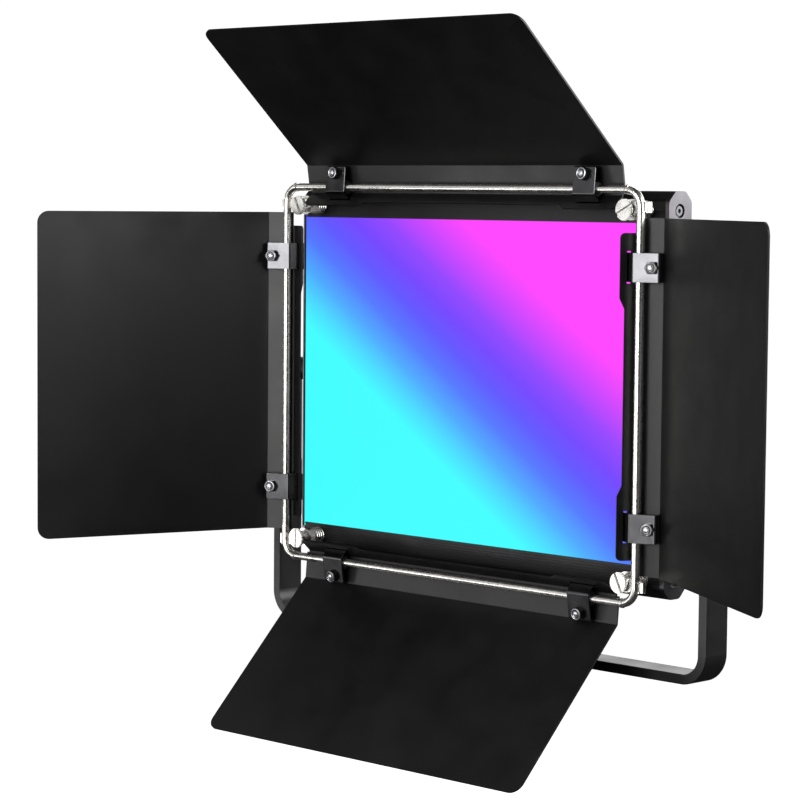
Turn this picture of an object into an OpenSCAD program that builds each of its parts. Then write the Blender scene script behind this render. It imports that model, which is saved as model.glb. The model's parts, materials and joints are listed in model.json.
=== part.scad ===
// LED panel light in a U-shaped yoke, with four barn doors on a wire frame.
// Origin: centre of the stand socket's mouth, under the yoke.
// +X along the panel's width, +Y to its back, +Z up. Millimetres.

/* [Head] */
// Width of the head over its side caps
head_w = 308.6; // [296:0.2:330]
// Height of the head over its two rails
head_h = 238.6; // [230:0.2:250]
// Depth of the head from rail front to rail back
head_d = 20.6; // [20.2:0.2:26]
// Height of the lit window
window_h = 201; // [190:0.5:203]
// Thickness of each side cap
cap_t = 3; // [3:0.1:4]
// Distance of the tilt pivot behind the head's front face
pivot_back = 12.5; // [12:0.1:14]
// Number of light diodes along the width
led_cols = 14; // [6:1:16]
// Number of light diodes along the height
led_rows = 9; // [4:1:11]

/* [Barn doors] */
// Distance of the wire frame in front of the head
rod_gap = 19.4; // [17:0.1:24]
// Half of the wire frame's width between rod centres
rod_x = 149.1; // [146:0.1:152]
// Half of the wire frame's height between rod centres
rod_z = 120; // [119:0.1:124]
// Diameter of the wire
rod_d = 5; // [4.6:0.1:5.2]
// Thickness of the leaf sheet
leaf_t = 1.2; // [0.8:0.1:1.4]
// Length of the side leaves along their rod
side_leaf_w = 207.4; // [200:0.2:212]
// Length of the top and bottom leaves along their rod
end_leaf_w = 266; // [250:0.5:268]
// Blade length of the side leaves, from bend to free edge
side_blade = 158.7; // [120:0.1:160]
// Blade length of the top and bottom leaves, from bend to free edge
end_blade = 122.2; // [90:0.1:124]
// Opening of the left leaf, forward of the panel's plane
open_left = 72; // [30:1:100]
// Opening of the right leaf, forward of the panel's plane
open_right = 31; // [10:1:100]
// Opening of the top leaf, forward of the panel's plane
open_top = 47.9; // [0:0.1:100]
// Opening of the bottom leaf, forward of the panel's plane
open_bottom = 44.2; // [30:0.1:100]
// Distance of the side leaves' clamps from the middle of the rod
side_clamp = 75.3; // [60:0.1:80]
// Half of the distance between the top and bottom leaves' clamps
end_clamp = 104.7; // [80:0.1:106]
// How far the top and bottom leaves' clamps sit to the right of the middle
end_shift = 3.8; // [0:0.1:4]
// Width of each clamp strap
clamp_w = 17; // [12:0.5:20]

/* [Yoke] */
// Gap between the head's side and each yoke arm
side_gap = 24.2; // [22:0.1:32]
// Gap between the head's underside and the cross-bar
under_gap = 41.7; // [40:0.1:60]
// Thickness of the yoke's flat bar
yoke_t = 6; // [5:0.5:8]
// Width of the yoke's flat bar
yoke_w = 20; // [18:1:26]
// Bend radius inside the yoke's corners
yoke_r = 12; // [8:1:20]

/* [Stand socket] */
// Length of the stand socket under the cross-bar
socket_len = 44; // [40:1:60]
// Bore diameter of the stand socket
socket_bore = 16.1; // [16:0.05:16.3]
// Outer diameter of the stand socket
socket_d = 30; // [28:1:34]

/* [Hidden] */
$fn = 64;

// Frame of the whole light
front_y = -pivot_back;
back_y = front_y + head_d;
rod_y = front_y - rod_gap;
half_w = head_w / 2;
half_h = head_h / 2;
win_z = window_h / 2;
inner_x = half_w - cap_t;
bar_top = half_h + under_gap;
pivot_z = socket_len + yoke_t + bar_top;
arm_x = half_w + side_gap;

// Running clearances
play = 0.05;
slack = 0.25;

// Rail section
wall = 2.2;
chamfer_y = 5.7;
chamfer_z = 6;
edge_r = 4;
lip = 1.2;
rib_pitch = 1.7;
rib_count = 7;
boss_y = -2.8;
boss_z = half_h - 11.5;
ledge_y = back_y - 4.2;
cover_t = 2;

// Parts inside the head
diffuser_t = 3;
diffuser_y = front_y + lip;
diffuser_x = half_w - 1.3;
seat_z = win_z + 2.4;
board_y = -2;
board_t = 1.6;
board_x = inner_x - 2.4;
board_z = win_z - 1;
led_size = 3.2;
led_pitch = 20;

// Leaf section, seen along the rod: the rod's axis is the origin
flange_dir = 53.35;
flange_gap = 4.88;
bend_s = 13.72;
tab_r = 3;
lip_v = -6.6;
lip_tip = -6.7;
tab_tip = -9.7;
side_blade_dir = 91.15;
end_blade_dir = 92.5;
side_lip = side_leaf_w / 2 - 8.7;
end_lip = end_leaf_w / 2 - 2;
corner_r = 7.5;
bend_r = 1.6;
foot = [flange_gap * sin(flange_dir), -flange_gap * cos(flange_dir)];
lip_s = (lip_v - foot[1]) / sin(flange_dir);
lip_bend = [foot[0] + lip_s * cos(flange_dir), lip_v];
bend = [foot[0] + bend_s * cos(flange_dir), foot[1] + bend_s * sin(flange_dir)];

// Clamp section
plate_dir = 40;
plate_len = 13.4;
plate_over = 3.1;
strap_t = 1.2;
hump_r = rod_d / 2 + 0.12;
face_n = flange_gap - leaf_t / 2;
bolt_u = 8.7;
bolt_r = 2;
nut_t = 2.8;
slot_u = -4.45;
slot_w = 2.6;
strap_foot = [-8.2, -7.95];

// Thumb screws and their standoffs
screw_x = rod_x - 11.5;
screw_z = rod_z - 11.7;
lug_front = rod_y + 0.4;
lug_t = 2.9;
lug_end = rod_x + 5.5;
lug_z = rod_z - 10.1;
lug_half = 3.1;
collar_r = 4.4;
head_r = 6.25;
head_t = 2.4;
thumb_r = 2;

// Rear control pod, from the middle of the back
pod_x = 48;
pod_z = 62;
pod_d = 16.5;
pod_wall = 2.2;
pod_y = back_y + pod_d;
panel_t = 1.2;
dial_x = 26;
dial_z = -12;
dial_r = 9;
button_z = 12;
button_x = 24;
button_r = 4;
rocker_x = 0;
rocker_z = -42;
rocker_l = 18;
rocker_w = 12;
bezel_t = 2;
dc_x = 30;
dc_y = back_y + 8;

// Battery plates
plate_x = 100;
plate_w = 42;
plate_h = 74;
plate_t = 5;
plate_z = -3;

// Yoke knobs and washers
knob_r = 15;
knob_len = 22;
washer_t = 2;
stud_r = 4;
lock_z = 20;

screw_spots = [for (x = [-1, 1], z = [-1, 1]) [x * screw_x, z * screw_z]];
cover_spots = [for (x = [-130, -45, 45, 130], z = [-1, 1]) [x, z * (win_z - 3.5)]];
pod_spots = [for (x = [-1, 1], z = [-1, 1]) [x * (pod_x - 6), z * (pod_z - 6)]];

// ---- Shared shapes ----

module at_pivot() {
    translate([0, 0, pivot_z]) children();
}

// A cylinder along X from x0 to x1
module x_rod(r, x0, x1, y = 0, z = 0) {
    translate([x0, y, z]) rotate([0, 90, 0]) cylinder(r = r, h = x1 - x0);
}

// A cylinder along Y from y0 to y1
module y_rod(r, y0, y1, x = 0, z = 0) {
    translate([x, y1, z]) rotate([90, 0, 0]) cylinder(r = r, h = y1 - y0);
}

// A box given by its lowest and highest corners
module block(low, high) {
    translate(low) cube(high - low);
}

// A Y-Z outline pulled along X from x0 to x1
module along_x(x0, x1) {
    translate([x0, 0, 0]) rotate([90, 0, 90]) linear_extrude(x1 - x0) children();
}

// An X-Z outline pulled along Y from y0 to y1
module along_y(y0, y1) {
    translate([0, y1, 0]) rotate([90, 0, 0]) linear_extrude(y1 - y0) children();
}

module rounded_rect(x, z, r) {
    square([2 * x - 2 * r, 2 * z], center = true);
    square([2 * x, 2 * z - 2 * r], center = true);
    for (i = [-1, 1], j = [-1, 1]) translate([i * (x - r), j * (z - r)]) circle(r = r);
}

// A hexagon by its width across flats
module hexagon(flats) {
    circle(r = flats / sqrt(3), $fn = 6);
}

// ---- Head: housing ----

// The head's long octagon, seen from its side
module head_outline() {
    side = half_h - chamfer_z;
    corners = [
        [front_y, -side], [front_y, side], [front_y + chamfer_y, half_h], [back_y - chamfer_y, half_h],
        [back_y, side], [back_y, -side], [back_y - chamfer_y, -half_h], [front_y + chamfer_y, -half_h]
    ];
    polygon([
        for (i = [0 : 7])
            each fold(corners[(i + 7) % 8], corners[i], corners[(i + 1) % 8], edge_r, 3)
    ]);
}

module rail_hollow() {
    low = win_z - 1;
    side = half_h - chamfer_z - 0.9;
    top = half_h - wall;
    polygon([
        [front_y + wall, low], [front_y + wall, side], [front_y + chamfer_y + 1.2, top],
        [back_y - chamfer_y - 1.2, top], [back_y - wall, side], [back_y - wall, low]
    ]);
}

module rail_ribs(y) {
    for (i = [0 : rib_count - 1])
        translate([y - 0.6, win_z + 1.2 + i * rib_pitch]) square([1.2, 0.8]);
}

module rail_walls() {
    difference() {
        intersection() {
            head_outline();
            translate([front_y, win_z]) square([head_d, head_h]);
        }
        rail_hollow();
        rail_ribs(front_y);
        rail_ribs(back_y);
        translate([diffuser_y - 0.05, win_z - 1]) square([diffuser_t + 0.1, 3.5]);
    }
}

// Screw channel on its web, and the ledge that the rear cover lies on
module top_rail_shape() {
    x = inner_x;
    difference() {
        union() {
            along_x(-x, x) rail_walls();
            x_rod(3.6, -x, x, boss_y, boss_z);
            block([-x, boss_y - 1, boss_z], [x, boss_y + 1, half_h - 1]);
            block([-x, ledge_y, win_z - 6.5], [x, ledge_y + wall, win_z + 2.5]);
            block([-x, ledge_y + 1, win_z], [x, back_y - 0.7, win_z + 2.5]);
        }
        for (s = [-1, 1]) {
            x_rod(bolt_r + play, s * x - 14, s * x + 14, boss_y, boss_z);
            y_rod(thumb_r + play, front_y - 1, front_y + wall + 1, s * screw_x, screw_z);
        }
        for (p = cover_spots) y_rod(1.5 + play, ledge_y - 1, back_y + 1, p[0], abs(p[1]));
    }
}

module top_rail() {
    color("#17171a") at_pivot() top_rail_shape();
}

module bottom_rail() {
    color("#17171a") at_pivot() mirror([0, 0, 1]) top_rail_shape();
}

module side_cap(s) {
    color("#4a494e") at_pivot() mirror([s < 0 ? 1 : 0, 0, 0]) difference() {
        along_x(inner_x, half_w) head_outline();
        for (z = [-1, 1]) {
            x_rod(bolt_r + play, inner_x - 1, half_w + 1, boss_y, z * boss_z);
            x_rod(4.1, half_w - 2, half_w + 1, boss_y, z * boss_z);
        }
        x_rod(3 + play, inner_x - 1, half_w + 1, 0, 0);
        block([inner_x - 1, front_y - 1, -seat_z],
            [diffuser_x + play, diffuser_y + diffuser_t + play, seat_z]);
    }
}

module side_cap_left() {
    side_cap(-1);
}

module side_cap_right() {
    side_cap(1);
}

module side_cap_screws() {
    color("#8d8c90") at_pivot()
        for (s = [-1, 1], z = [-1, 1]) mirror([s < 0 ? 1 : 0, 0, 0]) difference() {
            union() {
                x_rod(bolt_r, inner_x - 12, half_w - 1, boss_y, z * boss_z);
                x_rod(2.9, half_w - 2, half_w - 0.5, boss_y, z * boss_z);
            }
            translate([half_w - 1.6, boss_y, z * boss_z]) rotate([0, 90, 0])
                linear_extrude(3) hexagon(2.5);
        }
}

// ---- Head: light engine ----

module diffuser() {
    x = diffuser_x;
    z = seat_z - play;
    color("#f4f2ff") at_pivot() block([-x, diffuser_y, -z], [x, diffuser_y + diffuser_t, z]);
}

module light_frame() {
    low = diffuser_y + diffuser_t + 0.1;
    color("white") at_pivot() difference() {
        block([-board_x, low, -board_z], [board_x, board_y - 0.1, board_z]);
        block([-board_x + 1.4, low - 1, -board_z + 1.4], [board_x - 1.4, board_y + 1, board_z - 1.4]);
    }
}

module led_board() {
    color("#e9ebe6") at_pivot()
        block([-board_x, board_y, -board_z], [board_x, board_y + board_t, board_z]);
}

module led_chips() {
    color("#ffe9a0") at_pivot()
        for (i = [0 : led_cols - 1], j = [0 : led_rows - 1])
            translate([(i - (led_cols - 1) / 2) * led_pitch, board_y - 0.4,
                (j - (led_rows - 1) / 2) * led_pitch])
                cube([led_size, 0.8, led_size], center = true);
}

module heat_plate() {
    low = board_y + board_t;
    color("silver") at_pivot() {
        block([-board_x, low, -board_z], [board_x, low + 2, board_z]);
        for (x = [-120, -70, 70, 120], z = [-60, 60]) y_rod(3, low + 1.9, back_y - cover_t, x, z);
    }
}

// ---- Head: rear cover and control pod ----

module rear_cover() {
    x = inner_x - 0.2;
    z = win_z - 0.3;
    color("#1c1c1f") at_pivot() difference() {
        block([-x, back_y - cover_t, -z], [x, back_y, z]);
        for (p = concat(cover_spots, pod_spots))
            y_rod(1.5 + play, back_y - cover_t - 1, back_y + 1, p[0], p[1]);
        for (s = [-1, 1], i = [0 : 8])
            block([s * plate_x - 40 + i * 9, back_y - cover_t - 1, 52],
                [s * plate_x - 36 + i * 9, back_y + 1, 76]);
        block([-24, back_y - cover_t - 1, -30], [24, back_y + 1, 30]);
    }
}

// Countersunk-looking pan heads on the cover, cap heads in the pod's corners
module rear_screws() {
    color("#3a3a3d") at_pivot() {
        for (p = cover_spots) difference() {
            union() {
                y_rod(1.5, ledge_y - 2, back_y, p[0], p[1]);
                y_rod(2.8, back_y, back_y + 1.6, p[0], p[1]);
            }
            block([p[0] - 2, back_y + 0.8, p[1] - 0.4], [p[0] + 2, back_y + 2, p[1] + 0.4]);
            block([p[0] - 0.4, back_y + 0.8, p[1] - 2], [p[0] + 0.4, back_y + 2, p[1] + 2]);
        }
        for (p = pod_spots) difference() {
            union() {
                y_rod(1.5, back_y - cover_t - 2, pod_y - 4, p[0], p[1]);
                y_rod(2.8, pod_y - 4, pod_y - 1, p[0], p[1]);
            }
            translate([p[0], pod_y - 0.9, p[1]]) rotate([90, 0, 0]) linear_extrude(1.6) hexagon(2.5);
        }
    }
}

module pod_openings(y0, y1) {
    block([-23 - slack, y0, 27 - slack], [23 + slack, y1, 51 + slack]);
    for (s = [-1, 1]) y_rod(3.6, y0, y1, s * dial_x, dial_z);
    for (i = [-1 : 1]) y_rod(button_r + slack, y0, y1, i * button_x, button_z);
    block([rocker_x - 8 - slack, y0, rocker_z - 12 - slack],
        [rocker_x + 8 + slack, y1, rocker_z + 12 + slack]);
}

module control_pod() {
    color("#1e1e21") at_pivot() difference() {
        union() {
            difference() {
                along_y(back_y, pod_y) rounded_rect(pod_x, pod_z, 7);
                along_y(back_y - 1, pod_y - pod_wall) rounded_rect(pod_x - pod_wall, pod_z - pod_wall, 5);
            }
            for (p = pod_spots) y_rod(4.6, back_y, pod_y - 1, p[0], p[1]);
        }
        for (p = pod_spots) {
            y_rod(1.5 + play, back_y - 1, pod_y, p[0], p[1]);
            y_rod(3.1, pod_y - 4, pod_y + 1, p[0], p[1]);
        }
        along_y(pod_y - 0.8, pod_y + 1) rounded_rect(pod_x - 3, pod_z - 11, 2);
        pod_openings(pod_y - 5, pod_y + 1);
        translate([dc_x, dc_y, -pod_z - 1]) cylinder(r = 5.5 + play, h = 5);
    }
}

module control_panel() {
    color("#2b2b30") at_pivot() difference() {
        along_y(pod_y - 0.8, pod_y + panel_t - 0.8) rounded_rect(pod_x - 3.2, pod_z - 11.2, 1.8);
        pod_openings(pod_y - 2, pod_y + 2);
    }
}

module display_window() {
    color("#0c1520") at_pivot() block([-23, pod_y - 3, 27], [23, pod_y + 0.6, 51]);
}

module control_board() {
    y = back_y + 3;
    color("#1f5a35") at_pivot() difference() {
        union() {
            block([-40, y, -48], [40, y + board_t, 56]);
            for (i = [0 : 3]) block([-30 + i * 16, y + 1.5, 30], [-21 + i * 16, y + 3.4, 39]);
            for (i = [0, 1]) y_rod(4, y + 1.5, y + 8, -30 + i * 12, -34);
        }
        for (p = pod_spots) y_rod(5, y - 1, y + 4, p[0], p[1]);
    }
}

module dial_encoders() {
    low = back_y + 3 + board_t;
    color("#8f959b") at_pivot() for (s = [-1, 1]) difference() {
        union() {
            block([s * dial_x - 6, low, dial_z - 6], [s * dial_x + 6, pod_y - pod_wall - 0.2, dial_z + 6]);
            y_rod(3.5, pod_y - pod_wall - 1, pod_y + 1.5, s * dial_x, dial_z);
        }
        y_rod(2.5 + play, low + 2, pod_y + 2, s * dial_x, dial_z);
    }
}

// A knurled knob along +Y, with its shaft in the encoder
module dial(s) {
    y0 = pod_y + panel_t + 0.8;
    color("#26262a") at_pivot() translate([s * dial_x, 0, dial_z]) {
        y_rod(2.5, back_y + 7, y0 + 1);
        difference() {
            union() {
                y_rod(dial_r, y0, y0 + 9);
                y_rod(dial_r - 1, y0 + 8, y0 + 10);
            }
            for (k = [0 : 17]) rotate([0, k * 20, 0]) y_rod(0.7, y0 + 1.5, y0 + 11, dial_r + 0.2);
            y_rod(3.9, y0 - 1, y0 + 0.6);
            block([-0.6, y0 + 9.4, 2], [0.6, y0 + 11, dial_r - 2]);
        }
    }
}

module brightness_dial() {
    dial(-1);
}

module colour_dial() {
    dial(1);
}

module push_button(i) {
    at_pivot() {
        y_rod(button_r, pod_y - 4.2, pod_y + panel_t + 1.4, i * button_x, button_z);
        y_rod(button_r + 1.2, pod_y - 4.6, pod_y - pod_wall - 1, i * button_x, button_z);
    }
}

module mode_button() {
    color("#9a9aa0") push_button(-1);
}

module channel_button() {
    color("#9a9aa0") push_button(0);
}

module effect_button() {
    color("#9a9aa0") push_button(1);
}

module rocker_bezel() {
    low = pod_y - 6;
    top = pod_y + panel_t + bezel_t - 0.8;
    color("#0f0f11") at_pivot() translate([rocker_x, 0, rocker_z]) difference() {
        union() {
            block([-8, low, -12], [8, top - 1, 12]);
            along_y(top - 1.5, top) rounded_rect(9.5, 13.5, 1.5);
        }
        block([-6.5, low + 1, -10.2], [6.5, top + 1, 10.2]);
        x_rod(1 + play, -9, 9, pod_y - 1, 0);
    }
}

module power_rocker() {
    y = pod_y - 1;
    half = rocker_l / 2;
    color("#1a1a1d") at_pivot() translate([rocker_x, 0, rocker_z]) {
        x_rod(1, -7.6, 7.6, y, 0);
        along_x(-rocker_w / 2, rocker_w / 2) difference() {
            polygon([
                [y - 1.6, -half], [y + 4.6, -half], [y + 3, 0],
                [y + 3.4, half], [y - 0.6, half], [y - 2, 0]
            ]);
            for (k = [-3 : 3]) translate([y + 4.2, -half + 5 + k]) circle(r = 0.25);
        }
    }
}

module dc_socket() {
    color("#111113") at_pivot() translate([dc_x, dc_y, -pod_z]) {
        difference() {
            union() {
                translate([0, 0, -1]) cylinder(r = 6.8, h = 1);
                translate([0, 0, -0.5]) cylinder(r = 5.5, h = 12);
            }
            translate([0, 0, -2]) cylinder(r = 3.2, h = 11);
        }
        translate([0, 0, 0]) cylinder(r = 1, h = 10);
    }
}

// ---- Head: battery plates ----

module battery_plate(s) {
    color("#232327") at_pivot() translate([s * plate_x, 0, plate_z]) {
        x = plate_w / 2;
        z = plate_h / 2;
        difference() {
            along_y(back_y, back_y + plate_t) rounded_rect(x, z, 3);
            block([-7, back_y + plate_t - 3.5, -z - 1], [7, back_y + plate_t + 1, -z + 13]);
            block([-12, back_y + plate_t - 2, z - 14], [12, back_y + plate_t + 1, z - 8]);
        }
        for (i = [-1, 1], j = [-20, 6])
            translate([i * (x - 2.6), 0, j]) {
                block([-1.3, back_y + plate_t - 0.5, -6], [1.3, back_y + plate_t + 3.4, 6]);
                block([i > 0 ? -3.6 : -1.3, back_y + plate_t + 2, -6],
                    [i > 0 ? 1.3 : 3.6, back_y + plate_t + 3.4, 6]);
            }
    }
}

module battery_plate_left() {
    battery_plate(-1);
}

module battery_plate_right() {
    battery_plate(1);
}

module battery_contacts() {
    z = plate_z + plate_h / 2 - 11;
    low = back_y + plate_t - 2;
    color("gold") at_pivot() for (s = [-1, 1], i = [-1 : 1])
        block([s * plate_x + i * 7 - 1, low, z - 2.4], [s * plate_x + i * 7 + 1, low + 3.2, z + 2.4]);
}

module battery_release(s) {
    z = plate_z - plate_h / 2;
    low = back_y + plate_t - 3.3;
    color("#55565b") at_pivot() translate([s * plate_x, 0, 0]) {
        block([-6.6, low, z + 3.5], [6.6, low + 3, z + 12.7]);
        for (i = [0 : 3]) block([-5, low + 2.9, z + 4.5 + i * 2], [5, low + 3.7, z + 5.5 + i * 2]);
    }
}

module battery_release_left() {
    battery_release(-1);
}

module battery_release_right() {
    battery_release(1);
}

// ---- Wire frame and its fixings ----

// Bent wire with a seam at each corner, and a folded lug for each thumb screw
module barndoor_frame() {
    r = rod_d / 2;
    turn = 10;
    seam = 0.9;
    straight = rod_x - turn;
    color("#d9dadd") at_pivot() difference() {
        union() {
            for (s = [-1, 1]) {
                x_rod(r, seam - straight, straight - seam, rod_y, s * rod_z);
                x_rod(r - 0.5, -straight, straight, rod_y, s * rod_z);
                translate([s * rod_x, rod_y, turn - rod_z]) cylinder(r = r, h = 2 * (rod_z - turn));
            }
            for (i = [0, 1], j = [0, 1])
                mirror([i, 0, 0]) mirror([0, 0, j]) {
                    translate([straight, rod_y, rod_z - turn]) rotate([90, 0, 0])
                        rotate_extrude(angle = 90) translate([turn, 0]) circle(r = r);
                    x_rod(r + 0.4, straight, straight + 1.6, rod_y, rod_z);
                    block([screw_x, lug_front, lug_z - lug_half],
                        [lug_end, lug_front + lug_t, lug_z + lug_half]);
                    y_rod(collar_r, lug_front, lug_front + lug_t, screw_x, screw_z);
                }
        }
        for (i = [0, 1], j = [0, 1])
            mirror([i, 0, 0]) mirror([0, 0, j]) {
                y_rod(thumb_r + play, lug_front - 1, lug_front + lug_t + 1, screw_x, screw_z);
                block([rod_x + r + 0.6, lug_front + 1.2, lug_z - lug_half - 1],
                    [lug_end + 1, lug_front + 1.7, lug_z + lug_half + 1]);
            }
    }
}

// Knurled collar, flange ring, flared skirt and spacer, with a stud into the rail
module frame_standoffs() {
    low = lug_front + lug_t;
    color("#cfd0d3") at_pivot() for (p = screw_spots) difference() {
        union() {
            y_rod(collar_r, low, low + 1.8, p[0], p[1]);
            y_rod(6.1, low + 1.7, low + 2.9, p[0], p[1]);
            y_rod(3.6, low + 2.8, low + 3.8, p[0], p[1]);
            translate([p[0], low + 7.4, p[1]]) rotate([90, 0, 0]) cylinder(r1 = 5.7, r2 = 4.8, h = 3.7);
            y_rod(4.4, low + 7.3, front_y, p[0], p[1]);
            y_rod(thumb_r, front_y - 1, front_y + wall + 1.5, p[0], p[1]);
        }
        y_rod(thumb_r + play, low - 1, front_y - 2, p[0], p[1]);
        for (k = [0 : 17])
            translate([p[0], 0, p[1]]) rotate([0, k * 20, 0]) y_rod(0.35, low - 1, low + 1.5, collar_r + 0.1);
    }
}

// Slotted head with a coined rim, and the shank through the lug
module thumb_screw(x, z, slot) {
    y0 = lug_front - head_t;
    color("#dddee0") at_pivot() translate([x, 0, z]) difference() {
        union() {
            y_rod(head_r, y0 + 0.4, lug_front - 0.6);
            y_rod(head_r - 0.5, y0, y0 + 1);
            y_rod(collar_r, lug_front - 1, lug_front - 0.1);
            y_rod(thumb_r, lug_front - 1, front_y - 3);
        }
        rotate([0, slot, 0]) block([-0.95, y0 - 1, -head_r - 1], [0.95, y0 + 1.3, head_r + 1]);
        for (k = [0 : 23])
            rotate([0, k * 15, 0]) y_rod(0.3, y0 + 0.7, lug_front - 0.5, head_r + 0.1);
    }
}

module thumb_screw_top_left() {
    thumb_screw(-screw_x, screw_z, -27);
}

module thumb_screw_top_right() {
    thumb_screw(screw_x, screw_z, 62);
}

module thumb_screw_bottom_left() {
    thumb_screw(-screw_x, -screw_z, 0);
}

module thumb_screw_bottom_right() {
    thumb_screw(screw_x, -screw_z, -26);
}

// ---- Barn door leaves ----
// In a leaf's own section +X points out from the panel, +Y forward, +Z along the rod.

module on_left_rod() {
    at_pivot() mirror([1, 0, 0]) translate([rod_x, rod_y, 0]) rotate([180, 0, 0])
        rotate([0, 0, open_left - side_blade_dir]) children();
}

module on_right_rod() {
    at_pivot() translate([rod_x, rod_y, 0]) rotate([180, 0, 0])
        rotate([0, 0, open_right - side_blade_dir]) children();
}

module on_top_rod() {
    at_pivot() translate([0, rod_y, rod_z]) rotate([180, -90, 0])
        rotate([0, 0, open_top - end_blade_dir]) children();
}

module on_bottom_rod() {
    at_pivot() mirror([0, 0, 1]) translate([0, rod_y, rod_z]) rotate([180, -90, 0])
        rotate([0, 0, open_bottom - end_blade_dir]) children();
}

function unit(v) = v / norm(v);
function left_of(v) = [-v[1], v[0]];
function turned(v, a) = [v[0] * cos(a) - v[1] * sin(a), v[0] * sin(a) + v[1] * cos(a)];

// Points of the arc that rounds the corner b of the path a, b, c
function fold(a, b, c, r, steps = 5) =
    let (
        d = unit(b - a),
        e = unit(c - b),
        turn = atan2(d[0] * e[1] - d[1] * e[0], d * e),
        side = sign(turn),
        centre = b - r * tan(abs(turn) / 2) * d + side * r * left_of(d)
    )
    [for (k = [0 : steps]) centre - turned(side * r * left_of(d), turn * k / steps)];

// The path moved sideways by a distance, with mitred corners
function beside(path, d) =
    let (last = len(path) - 1)
    [for (i = [0 : last])
        let (
            a = unit(path[max(i, 1)] - path[max(i, 1) - 1]),
            b = unit(path[min(i, last - 1) + 1] - path[min(i, last - 1)]),
            m = unit(a + b)
        )
        path[i] + left_of(m) * d / (m * a)];

function reversed(list) = [for (i = [len(list) - 1 : -1 : 0]) list[i]];

// Lip, flange and blade as one folded strip of sheet
module leaf_section(length, direction) {
    tip = [tab_tip, lip_v];
    edge = bend + length * [cos(direction), sin(direction)];
    path = concat([tip], fold(tip, lip_bend, bend, bend_r), fold(lip_bend, bend, edge, bend_r), [edge]);
    polygon(concat(beside(path, leaf_t / 2), reversed(beside(path, -leaf_t / 2))));
}

// A tool that cuts through the sheet where it runs from a point in a direction
module sheet_cut(point, direction, reach = 3) {
    translate([point[0], point[1], 0]) rotate([0, 0, direction]) translate([0, reach, 0])
        rotate([90, 0, 0]) linear_extrude(2 * reach) children();
}

// What rounds a corner away, from the centre of its arc
module corner_cut(r, x, y) {
    difference() {
        translate([x > 0 ? 0 : -r - 1, y > 0 ? 0 : -r - 1]) square([r + 1, r + 1]);
        circle(r = r);
    }
}

module leaf(half, lip_half, clamp, shift, length, direction) {
    wide = clamp - 18;
    narrow = clamp - 24;
    r = corner_r;
    color("#1b1b1e") difference() {
        translate([0, 0, -half]) linear_extrude(2 * half) leaf_section(length, direction);
        for (s = [-1, 1]) {
            sheet_cut([0, 0], flange_dir, 8) polygon([
                [-30, s * lip_half], [lip_s + 1.5, s * lip_half],
                [lip_s + 1.5, s * (half + 1)], [-30, s * (half + 1)]
            ]);
            sheet_cut([0, lip_v], 0) translate([slot_u - slot_w / 2, shift + s * clamp - clamp_w / 2 - 0.9])
                square([slot_w, clamp_w + 1.8]);
            rotate([0, 0, plate_dir]) y_rod(bolt_r + play, -9, 3, bolt_u, shift + s * clamp);
            sheet_cut(bend, direction) translate([length - r, s * (half - r)]) corner_cut(r, 1, s);
            sheet_cut([0, lip_v], 0) translate([tab_tip + tab_r, s * (lip_half - tab_r)])
                corner_cut(tab_r, -1, s);
        }
        sheet_cut([0, lip_v], 0) translate([0, shift]) polygon(concat(
            [[tab_tip - 1, -wide - tab_r]],
            fold([tab_tip, -wide - 9], [tab_tip, -wide], [lip_tip, -narrow], tab_r),
            fold([tab_tip, -wide], [lip_tip, -narrow], [lip_tip, 0], tab_r),
            fold([lip_tip, 0], [lip_tip, narrow], [tab_tip, wide], tab_r),
            fold([lip_tip, narrow], [tab_tip, wide], [tab_tip, wide + 9], tab_r),
            [[tab_tip - 1, wide + tab_r]]
        ));
    }
}

module side_leaf() {
    leaf(side_leaf_w / 2, side_lip, side_clamp, 0, side_blade, side_blade_dir);
}

module end_leaf() {
    leaf(end_leaf_w / 2, end_lip, end_clamp, end_shift, end_blade, end_blade_dir);
}

// Clamp strap: a tab on the flange, a plate in front of the rod, a leg through the slot, a foot
hump_mid = hump_r + strap_t / 2;
slot_point = [slot_u, lip_v];
crest = turned([-plate_over, hump_mid], plate_dir);
leg_dir = unit(slot_point - crest);
leg_gap = abs(crest * left_of(leg_dir)) - strap_t / 2;
plate_tilt = flange_dir - plate_dir;

// The flange's front face, in the strap plate's frame
function flange_front(x) = (x * sin(plate_tilt) - face_n) / cos(plate_tilt);

module strap_outline() {
    end_x = plate_len - strap_t / 2;
    tab = turned([end_x, flange_front(end_x) + 0.3], plate_dir);
    outer = turned([end_x, hump_mid], plate_dir);
    heel = slot_point + 1.42 * leg_dir;
    path = concat([tab], fold(tab, outer, crest, 0.8), fold(outer, crest, heel, 1.3, 8),
        fold(crest, heel, strap_foot, 0.9), [strap_foot]);
    polygon(concat(beside(path, strap_t / 2), reversed(beside(path, -strap_t / 2))));
}

module clamps(at) {
    color("#202023") for (s = [-1, 1]) difference() {
        translate([0, 0, s * at - clamp_w / 2]) linear_extrude(clamp_w) strap_outline();
        rotate([0, 0, plate_dir]) y_rod(bolt_r + play, hump_r - 1, hump_r + strap_t + 1, bolt_u, s * at);
    }
}

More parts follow.
